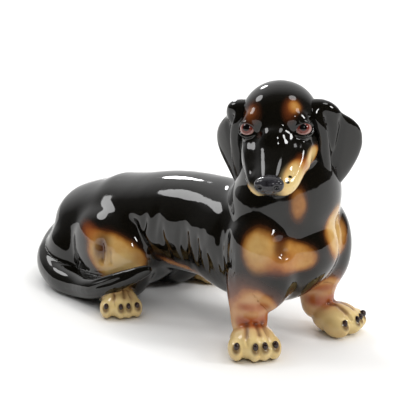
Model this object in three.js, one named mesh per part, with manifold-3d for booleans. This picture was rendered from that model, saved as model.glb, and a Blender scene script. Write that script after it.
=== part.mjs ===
// A glazed ceramic dachshund, lying on its haunches with the front raised and the head turned to its right.
//
// It is slip-cast in sections that are joined with slip before firing: a hollow body and a hollow head,
// each with a wall of even thickness, and solid legs, ears, tail, nose, eyes and claws.
// Millimetres. +X runs from rump to chest, +Y is the dog's left, +Z is up. The origin is on the floor,
// under the middle of the figure's bounding box.

import * as THREE from 'three';
import { LoftGeometry } from 'three/addons/geometries/LoftGeometry.js';
import { mergeVertices } from 'three/addons/utils/BufferGeometryUtils.js';
import Module from 'manifold-3d';

const wasm = await Module();
wasm.setup();

// Driving dimensions.
const wall = 5.5; // thickness of the cast wall
const seam = 0.3; // gap left where one section meets the next
const ventRadius = 4; // hole under the belly that lets air out of the hollow in the kiln
const headPlace = { at: [95, -1, 191], lean: 3, nod: 20, turn: -55 }; // where the head sits and how it turns
const eyeRadius = 8;
const earFlare = { left: 1, right: 0.88 }; // how far each ear stands out from the head
const fineness = 0.6; // share of the full count of facets round and along each form
const glaze = { roughness: 0.12, metalness: 0 };

const materials = {
  black: new THREE.MeshStandardMaterial({ color: 0x15120c, ...glaze }),
  tan: new THREE.MeshStandardMaterial({ color: 0xc39a5f, ...glaze }),
  iris: new THREE.MeshStandardMaterial({ color: 0x6d2f24, ...glaze }),
  nose: new THREE.MeshStandardMaterial({ color: 0x35343a, ...glaze }),
  claw: new THREE.MeshStandardMaterial({ color: 0x2b2126, ...glaze }),
};

// ---- clay: closed forms that are joined and cut ----

/** A three.js geometry as a solid that can be joined and cut. */
function clay(geometry) {
  const bare = geometry.index ? geometry.toNonIndexed() : geometry.clone();
  bare.deleteAttribute('normal');
  bare.deleteAttribute('uv');
  const merged = mergeVertices(bare, 1e-3);
  const mesh = new wasm.Mesh({
    numProp: 3,
    vertProperties: merged.attributes.position.array,
    triVerts: new Uint32Array(merged.index.array),
  });
  return new wasm.Manifold(mesh);
}

/** One solid from several. */
function join(forms) {
  return forms.reduce((whole, form) => whole.add(form));
}

/** An egg of three half-sizes. A grown form is larger by that much all round. */
function ball(at, halfSizes, { turn = [0, 0, 0], grow = 0, detail = 20 } = {}) {
  const facets = Math.round(detail * fineness);
  const geometry = new THREE.SphereGeometry(1, facets, Math.round(facets * 0.7));
  geometry.rotateX(Math.PI / 2);
  geometry.scale(...halfSizes.map((size) => size + grow));
  const angles = turn.map((angle) => THREE.MathUtils.degToRad(angle));
  geometry.applyMatrix4(new THREE.Matrix4().makeRotationFromEuler(new THREE.Euler(...angles, 'ZYX')));
  geometry.translate(...at);
  return clay(geometry);
}

/**
 * A roll of clay along a smooth path. Each station is [x, y, z, half width, half height]. The width lies
 * along `side` as nearly as the path allows. `blunt` says how square the two ends are: 2 is an egg's end.
 */
function roll(stations, { side = [0, 1, 0], blunt = 3, around = 20, along = 16, grow = 0 } = {}) {
  const path = new THREE.CatmullRomCurve3(stations.map(([x, y, z]) => new THREE.Vector3(x, y, z)));
  const sizes = new THREE.CatmullRomCurve3(stations.map(([, , , w, h]) => new THREE.Vector3(w, h, 0)));
  const overhang = grow / path.getLength();
  const sections = [];
  const steps = Math.round(along * fineness);
  const facets = Math.round(around * fineness);
  for (let i = 0; i < steps; i++) {
    const share = (1 - Math.cos((Math.PI * (i + 0.35)) / (steps - 0.3))) / 2;
    const t = share * (1 + 2 * overhang) - overhang;
    const inside = THREE.MathUtils.clamp(t, 0, 1);
    const tangent = path.getTangent(inside);
    const centre = path.getPoint(inside).addScaledVector(tangent, (t - inside) * path.getLength());
    const size = sizes.getPoint(inside);
    const across = new THREE.Vector3(...side);
    across.addScaledVector(tangent, -across.dot(tangent)).normalize();
    const up = new THREE.Vector3().crossVectors(tangent, across);
    const end = (1 - Math.abs(2 * share - 1) ** blunt) ** (1 / blunt);
    const ring = [];
    for (let j = 0; j < facets; j++) {
      const angle = (2 * Math.PI * j) / facets;
      ring.push(
        centre
          .clone()
          .addScaledVector(across, (size.x + grow) * end * Math.cos(angle))
          .addScaledVector(up, (size.y + grow) * end * Math.sin(angle)),
      );
    }
    sections.push(ring);
  }
  return clay(new LoftGeometry(sections, { capStart: true, capEnd: true }));
}

/** Everything above the floor. */
function stand(form) {
  const floor = new THREE.BoxGeometry(600, 600, 200).translate(0, 0, -100);
  return form.subtract(clay(floor));
}

// ---- the body: barrel, haunches, shoulders and neck ----

function bodyForm(grow = 0) {
  const barrel = roll(
    [
      [-184, 4, 38, 28, 30],
      [-152, -2, 50, 53, 50],
      [-100, 0, 56, 53, 57],
      [-45, 0, 77, 42, 46],
      [10, 0, 83, 41, 47],
      [60, 0, 80, 50, 54],
      [105, 8, 84, 58, 58],
      [142, 12, 86, 46, 46],
    ],
    { blunt: 2.6, around: 28, along: 22, grow },
  );
  const neck = roll(
    [
      [80, 4, 90, 54, 50],
      [94, 8, 130, 50, 46],
      [95, 4, 164, 40, 38],
      [94, 0, 192, 28, 26],
    ],
    { blunt: 4, around: 24, along: 14, grow },
  );
  const haunches = [-1, 1].map((side) =>
    ball([-88, 33 * side, 45], [54, 29, 46], { turn: [0, 7, 6 * side], grow, detail: 24 }),
  );
  const rump = [-1, 1].map((side) => ball([-140, 34 * side, 30], [34, 24, 36], { grow, detail: 20 }));
  const shoulders = [-1, 1].map((side) => ball([96, 8 + 36 * side, 78], [36, 26, 48], { grow, detail: 22 }));
  return join([barrel, neck, ...haunches, ...rump, ...shoulders]);
}

function bodyCasting() {
  const hollow = bodyForm(-wall);
  const vent = new THREE.CylinderGeometry(ventRadius, ventRadius, 60, 24);
  vent.rotateX(Math.PI / 2).translate(10, 0, 30);
  const floorInside = new THREE.BoxGeometry(600, 600, 200).translate(0, 0, wall - 100);
  return stand(bodyForm()).subtract(hollow.subtract(clay(floorInside))).subtract(clay(vent));
}

// ---- the head, made looking along +X from its own centre and then turned into place ----

const headMatrix = new THREE.Matrix4().compose(
  new THREE.Vector3(...headPlace.at),
  new THREE.Quaternion().setFromEuler(
    new THREE.Euler(...[headPlace.lean, headPlace.nod, headPlace.turn].map(THREE.MathUtils.degToRad), 'ZYX'),
  ),
  new THREE.Vector3(1, 1, 1),
);

function onHead(form) {
  return form.transform([...headMatrix.elements]);
}

const noseAt = [84, 0, -2];
const eyeAt = (side) => [29, 22.5 * side, 15];

function headForm(grow = 0) {
  const skull = ball([6, 0, 12], [32, 33, 31], { grow, detail: 26 });
  const stop = ball([34, 0, 9], [18, 15, 15], { grow, detail: 16 });
  const cheeks = [-1, 1].map((side) => ball([17, 16 * side, -6], [27, 19, 20], { grow }));
  const brows = [-1, 1].map((side) => ball([24, 17 * side, 23], [12, 12, 9], { grow, detail: 14 }));
  const muzzle = roll(
    [
      [8, 0, 6, 28, 22],
      [38, 0, 0, 21, 19],
      [62, 0, -6, 18, 14],
      [86, 0, -8, 13, 10],
    ],
    { blunt: 3.5, around: 24, along: 16, grow },
  );
  const lips = [-1, 1].flatMap((side) => [
    roll(
      [
        [14, 19 * side, 0, 15, 18],
        [34, 18 * side, -3, 13, 15],
        [52, 14 * side, -8, 12, 12],
        [70, 10 * side, -12, 11, 9.5],
        [82, 7 * side, -13, 8, 8],
      ],
      { blunt: 3, around: 16, along: 14, grow },
    ),
    ball([42, 22 * side, -11], [10, 7, 7], { grow, detail: 12 }),
  ]);
  const jaw = roll(
    [
      [2, 0, -12, 20, 12],
      [40, 0, -20, 14, 8],
      [74, 0, -21, 10, 6],
    ],
    { blunt: 3, around: 16, along: 12, grow },
  );
  return join([skull, stop, ...cheeks, ...brows, muzzle, ...lips, jaw]);
}

function headCasting() {
  const socket = { grow: eyeRadius + seam - 1, detail: 18 };
  const eyes = join([-1, 1].map((side) => ball(eyeAt(side), [1, 1, 1], socket)));
  const shell = onHead(headForm().subtract(headForm(-wall)).subtract(eyes).subtract(noseForm(seam)));
  return shell.subtract(bodyForm(seam));
}

function noseForm(grow = 0) {
  return ball(noseAt, [8, 12, 7.5], { grow, detail: 16 });
}

function eyeball(side) {
  return onHead(ball(eyeAt(side), [1, 1, 1], { grow: eyeRadius - 1, detail: 18 }));
}

/** An ear leather: a curved flap with a rolled front edge that hangs from the side of the skull. */
function ear(side, flare) {
  const lie = [0.58, -0.81 * side, 0];
  const flap = roll(
    [
      [5, 31 * side, 27, 10, 6],
      [5, 43 * side * flare, 10, 11, 6],
      [5, 52 * side * flare, -15, 20, 6],
      [10, 47 * side * flare, -40, 16, 6],
      [12, 40 * side, -63, 8, 5],
    ],
    { side: lie, blunt: 3, around: 20, along: 18 },
  );
  const rolledEdge = roll(
    [
      [10, 28 * side, 27, 6, 5],
      [16, 37 * side, 12, 6, 5],
      [18, 38 * side, -18, 7, 5],
      [14, 38 * side, -58, 6, 5],
    ],
    { side: lie, blunt: 3, around: 14, along: 14 },
  );
  return onHead(flap.add(rolledEdge).subtract(headForm(seam))).subtract(bodyForm(seam));
}

// ---- legs, paws and claws ----

const pawSize = { length: 27, width: 23, height: 15 }; // half-sizes of a forepaw
const toeAcross = [-16, -1, 7, 16]; // how far each toe lies to the side of the paw's middle

const paws = {
  forepaw_right: { at: [110, -51, 13], heading: -38, size: 1 },
  forepaw_left: { at: [123, 43, 13], heading: 10, size: 0.95 },
  hindpaw_right: { at: [-46, -62, 11], heading: -38, size: 0.85 },
  hindpaw_left: { at: [-60, 64, 11], heading: 30, size: 0.85 },
};

/** Moves a form made at a paw's own centre, looking along +X, to where that paw stands. */
function atPaw(form, { at, heading, size }) {
  return form.scale([size, size, size]).rotate([0, 0, heading]).translate(at);
}

function toeAt(across) {
  return [13 - 0.25 * Math.abs(across), across, -3];
}

function clawAt(across) {
  const [x, y] = toeAt(across);
  return [x + 11, y * 1.06, 2.5];
}

function pawForm() {
  const pad = ball([0, 0, 0], [pawSize.length - 3, pawSize.width - 3, pawSize.height], { detail: 18 });
  const toes = toeAcross.map((across) => ball(toeAt(across), [14, 7, 10], { detail: 12 }));
  return join([pad, ...toes]);
}

function clawForm(across, grow = 0) {
  return ball(clawAt(across), [3.4, 2.6, 3.9], { turn: [0, 0, 1.8 * across], grow, detail: 10 });
}

/** A leg and its paw, with a socket for each claw. */
function leg(stations, paw, { side = [0, 1, 0] } = {}) {
  const shaft = roll(stations, { side, blunt: 3, around: 18, along: 12 });
  const foot = atPaw(pawForm(), paw);
  const sockets = join(toeAcross.map((across) => atPaw(clawForm(across, seam), paw)));
  return stand(shaft.add(foot)).subtract(sockets).subtract(bodyForm(seam));
}

const forelegRight = [
  [88, -34, 84, 22, 24],
  [92, -38, 54, 19, 20],
  [97, -42, 30, 16, 17],
  [102, -46, 10, 16, 17],
];
const forelegLeft = [
  [98, 38, 86, 22, 24],
  [102, 42, 54, 19, 21],
  [102, 40, 30, 15, 17],
  [108, 40, 10, 15, 17],
];
const hindlegRight = [
  [-104, -40, 12, 10, 10],
  [-86, -46, 12, 11, 10],
  [-64, -56, 11, 13, 10],
  [-46, -62, 10, 14, 11],
];
const hindlegLeft = [
  [-108, 40, 12, 10, 10],
  [-94, 47, 12, 11, 10],
  [-76, 58, 11, 13, 10],
  [-60, 64, 10, 14, 11],
];

// ---- the tail, curled from the rump round the right haunch ----

function tail() {
  const form = roll(
    [
      [-150, 18, 52, 26, 26],
      [-172, -8, 38, 24, 23],
      [-165, -38, 22, 20, 19],
      [-137, -56, 14, 14.5, 14.5],
      [-103, -61, 14, 12.5, 12.5],
      [-70, -69, 21, 10, 10],
      [-42, -68, 34, 9.5, 8],
      [-12, -54, 50, 9, 6],
    ],
    { side: [0, 0, 1], blunt: 3.5, around: 18, along: 24 },
  );
  const shaftBelow = roll(hindlegRight, { around: 18, along: 12, grow: seam });
  const legsBelow = shaftBelow.add(atPaw(pawForm(), paws.hindpaw_right));
  return stand(form).subtract(bodyForm(seam)).subtract(legsBelow);
}

// ---- the figure ----

const figure = new THREE.Group();

/** Adds the largest piece of a solid to the figure as a named mesh. */
function piece(name, solid, material) {
  const whole = solid.decompose().sort((a, b) => b.volume() - a.volume())[0];
  const { vertProperties, triVerts } = whole.getMesh();
  const geometry = new THREE.BufferGeometry();
  geometry.setAttribute('position', new THREE.BufferAttribute(new Float32Array(vertProperties), 3));
  geometry.setIndex(new THREE.BufferAttribute(new Uint32Array(triVerts), 1));
  geometry.computeVertexNormals();
  const mesh = new THREE.Mesh(geometry, material);
  mesh.name = name;
  figure.add(mesh);
}

piece('body_casting', bodyCasting(), materials.black);
piece('head_casting', headCasting(), materials.black);
piece('nose_pad', onHead(noseForm()), materials.nose);
for (const [name, side] of [['left', 1], ['right', -1]]) {
  piece(`ear_${name}`, ear(side, earFlare[name]), materials.black);
  piece(`eye_${name}`, eyeball(side), materials.iris);
}
piece('foreleg_right', leg(forelegRight, paws.forepaw_right), materials.tan);
piece('foreleg_left', leg(forelegLeft, paws.forepaw_left), materials.tan);
piece('hindleg_right', leg(hindlegRight, paws.hindpaw_right), materials.tan);
piece('hindleg_left', leg(hindlegLeft, paws.hindpaw_left), materials.tan);
piece('tail', tail(), materials.black);
for (const [paw, place] of Object.entries(paws)) {
  toeAcross.forEach((across, index) => {
    piece(`${paw}_claw_${index + 1}`, atPaw(clawForm(across), place), materials.claw);
  });
}

const box = new THREE.Box3().setFromObject(figure);
const middle = box.getCenter(new THREE.Vector3());
figure.position.set(-middle.x, -middle.y, 0);

export default figure;
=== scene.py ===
"""A glazed ceramic dachshund figurine that lies on its haunches with its head turned to its right.

The figure is worked the way a potter works it. Lumps and rolls of clay are pressed together and smoothed,
lines are cut and pressed with tools, stains are sprayed and brushed on, and one clear gloss glaze goes over
all. The clay is worked in millimetres in the maker's frame, where +X runs from rump to chest, +Y is the dog's
left and +Z is up. The finished pieces are then moved into the part's own frame, in metres.
"""

import logging
import math
import random
from collections.abc import Callable, Iterable, Sequence
from dataclasses import dataclass, field, replace
from enum import Enum

import bmesh
import bpy
import numpy as np
from mathutils import Euler, Matrix, Vector
from mathutils.bvhtree import BVHTree


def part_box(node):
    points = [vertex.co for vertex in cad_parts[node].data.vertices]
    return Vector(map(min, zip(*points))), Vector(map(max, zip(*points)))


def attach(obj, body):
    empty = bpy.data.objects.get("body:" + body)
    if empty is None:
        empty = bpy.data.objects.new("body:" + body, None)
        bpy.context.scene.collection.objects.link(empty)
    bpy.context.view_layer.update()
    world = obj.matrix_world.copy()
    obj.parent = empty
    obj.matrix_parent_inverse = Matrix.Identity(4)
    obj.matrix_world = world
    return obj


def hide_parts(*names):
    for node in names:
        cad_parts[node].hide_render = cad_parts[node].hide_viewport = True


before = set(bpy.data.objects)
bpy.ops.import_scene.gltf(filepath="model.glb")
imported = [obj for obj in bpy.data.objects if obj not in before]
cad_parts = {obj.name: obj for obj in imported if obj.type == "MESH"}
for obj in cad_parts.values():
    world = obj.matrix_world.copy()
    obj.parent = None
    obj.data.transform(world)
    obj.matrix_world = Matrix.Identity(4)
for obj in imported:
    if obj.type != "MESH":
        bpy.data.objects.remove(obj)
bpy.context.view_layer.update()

Vec3 = tuple[float, float, float]
Station = tuple[float, float, float, float, float]
Socket = bpy.types.NodeSocket
MM = 0.001
LOG = logging.getLogger("figurine")


class Side(Enum):
    """A side of the dog."""

    LEFT = 1
    RIGHT = -1

    @property
    def word(self) -> str:
        """The side as it is written in a piece's name."""
        return self.name.lower()


class Stain(Enum):
    """A stain under the glaze. The value names the mesh attribute that holds how thick it lies."""

    TAN = "stain_tan"
    CREAM = "stain_cream"
    UMBER = "stain_umber"
    ROSE = "stain_rose"
    # Ink for the whisker dots; on the nose, painted shade inside the nostrils.
    RUST = "stain_rust"
    INK_AND_NOSTRIL_SHADE = "stain_ink_and_nostril_shade"
    # Not a stain: painted shade, which darkens the creases of the tan.
    POOL = "glaze_pool"


# ---- clay forms ----


def smooth_step(values: np.ndarray, low: float, high: float) -> np.ndarray:
    """Runs smoothly from 0 at low to 1 at high.

    Args:
        values: Numbers to grade.
        low: Where the result is 0.
        high: Where the result is 1. It may be below low.

    Returns:
        One number from 0 to 1 for each value.
    """
    share = np.clip((values - low) / (high - low), 0.0, 1.0)
    return share * share * (3.0 - 2.0 * share)


def curve_point(points: np.ndarray, t: float) -> np.ndarray:
    """Finds a point on a smooth curve through the given points.

    Args:
        points: Points of the curve, one row each.
        t: Place along the curve, from 0 to 1.

    Returns:
        The point at t, on a centripetal Catmull-Rom curve.
    """
    last = len(points) - 1
    place = min(max(t, 0.0), 1.0) * last
    index = min(int(place), last - 1)
    weight = place - index
    p1, p2 = points[index], points[index + 1]
    p0 = points[index - 1] if index > 0 else 2 * p1 - p2
    p3 = points[index + 2] if index + 2 <= last else 2 * p2 - p1
    gaps = [max(float(np.linalg.norm(b - a)) ** 0.5, 1e-4) for a, b in ((p0, p1), (p1, p2), (p2, p3))]
    start = ((p1 - p0) / gaps[0] - (p2 - p0) / (gaps[0] + gaps[1]) + (p2 - p1) / gaps[1]) * gaps[1]
    end = ((p2 - p1) / gaps[1] - (p3 - p1) / (gaps[1] + gaps[2]) + (p3 - p2) / gaps[2]) * gaps[1]
    cubic = 2 * p1 - 2 * p2 + start + end
    square = -3 * p1 + 3 * p2 - 2 * start - end
    return ((cubic * weight + square) * weight + start) * weight + p1


@dataclass(frozen=True)
class Lump:
    """An egg of clay, with half sizes in millimetres and its turn in degrees."""

    at: Vec3
    half: Vec3
    turn: Vec3 = (0.0, 0.0, 0.0)

    def press_onto(self, bm: bmesh.types.BMesh, place: Matrix) -> None:
        """Adds the lump to the clay.

        Args:
            bm: The clay.
            place: Moves the lump from its own sub-assembly's frame to the maker's frame.
        """
        turn = Euler([math.radians(angle) for angle in self.turn], "XYZ")
        matrix = place @ Matrix.LocRotScale(Vector(self.at), turn, Vector(self.half))
        bmesh.ops.create_icosphere(bm, subdivisions=5, radius=1.0, matrix=matrix)

    def mirrored(self) -> "Lump":
        """The same lump on the other side of the dog."""
        (x, y, z), (roll, pitch, yaw) = self.at, self.turn
        return Lump((x, -y, z), self.half, (-roll, pitch, -yaw))


@dataclass(frozen=True)
class Roll:
    """A roll of clay along a smooth path.

    Each station is x, y, z, half width and half height in millimetres. The width lies along `side` as nearly
    as the path allows, and `blunt` says how square the two ends are: 2 is an egg's end.
    """

    stations: tuple[Station, ...]
    side: Vec3 = (0.0, 1.0, 0.0)
    blunt: float = 3.0
    rings: int = 72
    facets: int = 80

    def mirrored(self) -> "Roll":
        """The same roll on the other side of the dog."""
        x, y, z = self.side
        return replace(self, stations=tuple((a, -b, *rest) for a, b, *rest in self.stations), side=(x, -y, z))

    def ring_place(self, share: float) -> Matrix:
        """Finds where one ring of the roll lies.

        Args:
            share: Place along the roll, from 0 to 1.

        Returns:
            A matrix that takes a unit circle to the ring.
        """
        data = np.array(self.stations, float)
        path, sizes = data[:, :3], data[:, 3:]
        centre = Vector(curve_point(path, share))
        ahead, behind = curve_point(path, min(share + 0.01, 1.0)), curve_point(path, max(share - 0.01, 0.0))
        tangent = Vector(ahead - behind).normalized()
        across = Vector(self.side)
        across = (across - tangent * across.dot(tangent)).normalized()
        up = tangent.cross(across)
        width, height = curve_point(sizes, share)
        end = (1 - abs(2 * share - 1) ** self.blunt) ** (1 / self.blunt)
        columns = Matrix((across * width * end, up * height * end, tangent)).transposed().to_4x4()
        return Matrix.Translation(centre) @ columns

    def press_onto(self, bm: bmesh.types.BMesh, place: Matrix) -> None:
        """Adds the roll to the clay.

        Args:
            bm: The clay.
            place: Moves the roll from its own sub-assembly's frame to the maker's frame.
        """
        loops = []
        for i in range(self.rings):
            share = (1 - math.cos(math.pi * (i + 0.35) / (self.rings - 0.3))) / 2
            matrix = place @ self.ring_place(share)
            ring = bmesh.ops.create_circle(bm, segments=self.facets, radius=1.0, matrix=matrix)["verts"]
            loops.append(list({edge for vert in ring for edge in vert.link_edges}))
        for near, far in zip(loops, loops[1:]):
            bmesh.ops.bridge_loops(bm, edges=near + far)
        bmesh.ops.holes_fill(bm, edges=loops[0] + loops[-1], sides=0)


Form = Lump | Roll


def raw_clay(forms: Iterable[Form], place: Matrix = Matrix.Identity(4)) -> bmesh.types.BMesh:
    """Presses forms together without fusing them.

    Args:
        forms: The lumps and rolls.
        place: Moves them to the maker's frame.

    Returns:
        A new bmesh, in millimetres, that the caller frees.
    """
    bm = bmesh.new()
    for form in forms:
        form.press_onto(bm, place)
    bmesh.ops.recalc_face_normals(bm, faces=bm.faces)
    return bm


# ---- tool marks and stains ----


def path_distance(points: np.ndarray, path: Sequence[Vec3] | np.ndarray) -> tuple[np.ndarray, np.ndarray]:
    """Measures how far points lie from a path.

    Args:
        points: Points, one row each.
        path: Corners of the path.

    Returns:
        The distance of each point, and how far along the path its nearest place is, from 0 to 1.
    """
    corners = np.array(path, float)
    best = np.full(len(points), np.inf)
    along = np.zeros(len(points))
    for i, (a, b) in enumerate(zip(corners, corners[1:])):
        run = b - a
        t = np.clip((points - a) @ run / max(run @ run, 1e-9), 0.0, 1.0)
        gap = np.linalg.norm(points - a - t[:, None] * run, axis=1)
        nearer = gap < best
        best[nearer] = gap[nearer]
        along[nearer] = (i + t[nearer]) / (len(corners) - 1)
    return best, along


@dataclass(frozen=True)
class ToolMark:
    """A line pressed into the clay with a rounded tool, or raised where its depth is negative. Millimetres.

    `weigh` says how much each axis counts in the distance from the path. A small weight lets a path that is
    given roughly beside the clay still mark it.
    """

    path: tuple[Vec3, ...]
    width: float
    depth: float
    fade: float = 0.3
    weigh: Vec3 = (1.0, 1.0, 1.0)

    def depth_at(self, points: np.ndarray) -> np.ndarray:
        """Finds how deep the mark is at each point.

        Args:
            points: Points in the mark's own frame.

        Returns:
            One depth for each point. It fades out over `fade` of the path at each end.
        """
        weigh = np.array(self.weigh)
        gap, along = path_distance(points * weigh, np.array(self.path) * weigh)
        ends = 1.0
        if self.fade > 0:
            ends = smooth_step(along, 0.0, self.fade) * smooth_step(along, 1.0, 1.0 - self.fade)
        return self.depth * np.exp(-((gap / self.width) ** 2)) * ends


@dataclass(frozen=True)
class Spray:
    """Stain sprayed on as a soft-edged egg-shaped cloud. Millimetres and degrees."""

    stain: Stain
    at: Vec3
    half: Vec3
    turn: Vec3 = (0.0, 0.0, 0.0)
    amount: float = 1.0
    soft: float = 0.35

    def amount_at(self, points: np.ndarray) -> np.ndarray:
        """Finds how thick the stain lies.

        Args:
            points: Points in the stain's own frame.

        Returns:
            The thickness at each point, from 0 to the stain's amount.
        """
        turn = np.array(Euler([math.radians(angle) for angle in self.turn], "XYZ").to_matrix())
        reach = np.linalg.norm((points - np.array(self.at)) @ turn / np.array(self.half), axis=1)
        return self.amount * smooth_step(reach, 1.0 + self.soft, 1.0 - self.soft)


@dataclass(frozen=True)
class Brushed:
    """Stain put on with one stroke of a brush. Millimetres."""

    stain: Stain
    path: tuple[Vec3, ...]
    width: float
    amount: float = 1.0
    soft: float = 0.4

    def amount_at(self, points: np.ndarray) -> np.ndarray:
        """Finds how thick the stain lies at each point, from 0 to its amount."""
        gap, _ = path_distance(points, self.path)
        return self.amount * smooth_step(gap / self.width, 1.0 + self.soft, 1.0 - self.soft)


@dataclass(frozen=True)
class Placed:
    """Marks and stains with the matrix that takes the maker's frame to the frame they are given in."""

    to_local: Matrix
    marks: tuple[ToolMark, ...] = ()
    stains: tuple[Spray | Brushed, ...] = ()

    def local(self, points: np.ndarray) -> np.ndarray:
        """Moves points from the maker's frame to the frame of the marks."""
        matrix = np.array(self.to_local)
        return points @ matrix[:3, :3].T + matrix[:3, 3]


class Skin:
    """A fused clay surface in millimetres, held as a mesh that tools can work."""

    def __init__(self, name: str, forms: bmesh.types.BMesh, voxel: float) -> None:
        """Fuses loose forms into one closed skin.

        Args:
            name: Name of the mesh.
            forms: Loose forms, which are freed.
            voxel: Size of the skin's facets in millimetres.
        """
        loose = bpy.data.meshes.new(name + "_loose")
        forms.to_mesh(loose)
        forms.free()
        holder = bpy.data.objects.new(name + "_loose", loose)
        bpy.context.scene.collection.objects.link(holder)
        fuse = holder.modifiers.new("fuse", "REMESH")
        fuse.mode = "VOXEL"
        fuse.voxel_size = voxel
        depsgraph = bpy.context.evaluated_depsgraph_get()
        self.mesh = bpy.data.meshes.new_from_object(holder.evaluated_get(depsgraph))
        self.mesh.name = name
        bpy.data.objects.remove(holder)
        bpy.data.meshes.remove(loose)

    def points(self) -> np.ndarray:
        """Reads where the skin's vertices are.

        Returns:
            Their places, one row each.
        """
        flat = np.empty(len(self.mesh.vertices) * 3, np.float64)
        self.mesh.vertices.foreach_get("co", flat)
        return flat.reshape(-1, 3)

    def normals(self) -> np.ndarray:
        """Reads the skin's outward directions.

        Returns:
            One row for each vertex.
        """
        flat = np.empty(len(self.mesh.vertices) * 3, np.float32)
        self.mesh.vertex_normals.foreach_get("vector", flat)
        return flat.reshape(-1, 3).astype(float)

    def move_to(self, points: np.ndarray) -> None:
        """Puts the skin's vertices at new places, given one row each."""
        self.mesh.vertices.foreach_set("co", points.astype(np.float32).ravel())
        self.mesh.update()

    def stand(self) -> None:
        """Flattens what would sink below the floor."""
        points = self.points()
        points[:, 2] = np.maximum(points[:, 2], 0.0)
        self.move_to(points)

    def edges(self) -> np.ndarray:
        """Reads the skin's edges.

        Returns:
            The two ends of each edge, one row each.
        """
        flat = np.empty(len(self.mesh.edges) * 2, np.int32)
        self.mesh.edges.foreach_get("vertices", flat)
        return flat.reshape(-1, 2)

    def spread(self, values: np.ndarray, times: int, share: np.ndarray | float = 0.5) -> np.ndarray:
        """Evens values out between neighbouring vertices, as a damp sponge does.

        Args:
            values: One row or number for each vertex.
            times: How often to wipe.
            share: How far each value moves towards its neighbours' average.

        Returns:
            The evened values.
        """
        edges = self.edges()
        count = len(self.mesh.vertices)
        degree = np.maximum(np.bincount(edges.ravel(), minlength=count), 1)
        rows = values.reshape(count, -1).copy()
        weight = np.broadcast_to(np.asarray(share, float).reshape(-1, 1), (count, 1))
        for _ in range(times):
            for column in range(rows.shape[1]):
                part = rows[:, column]
                total = np.bincount(edges[:, 0], part[edges[:, 1]], count)
                total += np.bincount(edges[:, 1], part[edges[:, 0]], count)
                rows[:, column] = part + weight[:, 0] * (total / degree - part)
        return rows.reshape(values.shape)

    def sponge(self, times: int, share: np.ndarray | float = 0.5, full: bool = False) -> None:
        """Smooths the clay.

        Args:
            times: How often to wipe.
            share: How hard, for the whole skin or for each vertex.
            full: Whether to make up for the clay that wiping takes off the bulges.
        """
        before = self.points()
        after = self.spread(before, times, share)
        if full:
            after = 2 * after - self.spread(after, times, share)
        self.move_to(after)

    def refine(self, wanted: Callable[[np.ndarray], np.ndarray]) -> None:
        """Halves the facets where finer work is to be done.

        Args:
            wanted: Says for each point whether it is in the finely worked region.
        """
        fine = wanted(self.points())
        bm = bmesh.new()
        bm.from_mesh(self.mesh)
        edges = [edge for edge in bm.edges if fine[edge.verts[0].index] and fine[edge.verts[1].index]]
        bmesh.ops.subdivide_edges(bm, edges=edges, cuts=1, use_grid_fill=True)
        bm.to_mesh(self.mesh)
        bm.free()

    def press(self, placed: Iterable[Placed]) -> None:
        """Presses tool marks into the clay along its own outward directions.

        Args:
            placed: The marks.
        """
        points, normals = self.points(), self.normals()
        depth = np.zeros(len(points))
        for group in placed:
            local = group.local(points)
            for mark in group.marks:
                corners = np.array(mark.path, float)
                room = 3 * mark.width / np.array(mark.weigh)
                low, high = corners.min(0) - room, corners.max(0) + room
                near = np.flatnonzero(((local > low) & (local < high)).all(1))
                depth[near] += mark.depth_at(local[near])
        self.move_to(points - normals * depth[:, None])

    def hollows(self, reach: int = 6) -> np.ndarray:
        """Finds the creases, where painted shade darkens the tan.

        Args:
            reach: How many facets wide a hollow is.

        Returns:
            For each vertex about 1 in a crease, 0 on open clay and less than 0 on a ridge.
        """
        points = self.points()
        lift = ((self.spread(points, reach) - points) * self.normals()).sum(1)
        return np.clip(self.spread(lift, 2) / 0.45, -1.0, 1.0)

    def stain(self, placed: Iterable[Placed], bare: np.ndarray | float = 1.0) -> None:
        """Sprays and brushes stains on, and notes the creases for painted shade.

        Args:
            placed: The stains.
            bare: How much of each stain takes, for each vertex. It is 0 where the clay was masked off.
        """
        points = self.points()
        layers = {stain: np.zeros(len(points)) for stain in Stain}
        for group in placed:
            local = group.local(points)
            for touch in group.stains:
                coat = touch.amount_at(local)
                layers[touch.stain] = layers[touch.stain] + coat - layers[touch.stain] * coat
        layers = {stain: amount * bare for stain, amount in layers.items()}
        # Painted shade: the creases, which the material darkens in the tan.
        layers[Stain.POOL] = self.hollows()
        for stain, amount in layers.items():
            layer = self.mesh.attributes.new(stain.value, "FLOAT", "POINT")
            layer.data.foreach_set("value", amount.astype(np.float32))


def finish_piece(
    name: str, mesh: bpy.types.Mesh, shift: Vector, material: bpy.types.Material
) -> bpy.types.Object:
    """Moves a finished mesh from the maker's frame to the part's frame and makes it an object.

    Args:
        name: Name of the piece.
        mesh: Its mesh, in millimetres.
        shift: Where the maker's origin lies in the part's frame, in millimetres.
        material: Its finish.

    Returns:
        The piece, whose object sits at the origin.
    """
    mesh.transform(Matrix.Scale(MM, 4) @ Matrix.Translation(shift))
    mesh.name = name
    mesh.materials.clear()
    mesh.materials.append(material)
    mesh.shade_smooth()
    piece = bpy.data.objects.new(name, mesh)
    bpy.context.scene.collection.objects.link(piece)
    return piece


def register(piece: bpy.types.Object, slot: str, *nodes: str) -> None:
    """Hangs a piece on the root body and hides the CAD nodes that it stands for.

    Args:
        piece: The piece.
        slot: The record's material slot for the piece. It is not used.
        nodes: The CAD nodes that it stands for.
    """
    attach(piece, "root")
    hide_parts(*nodes)
    LOG.info("%s: %d faces, stands for %s", piece.name, len(piece.data.polygons), ", ".join(nodes))


# ---- finishes ----


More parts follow.
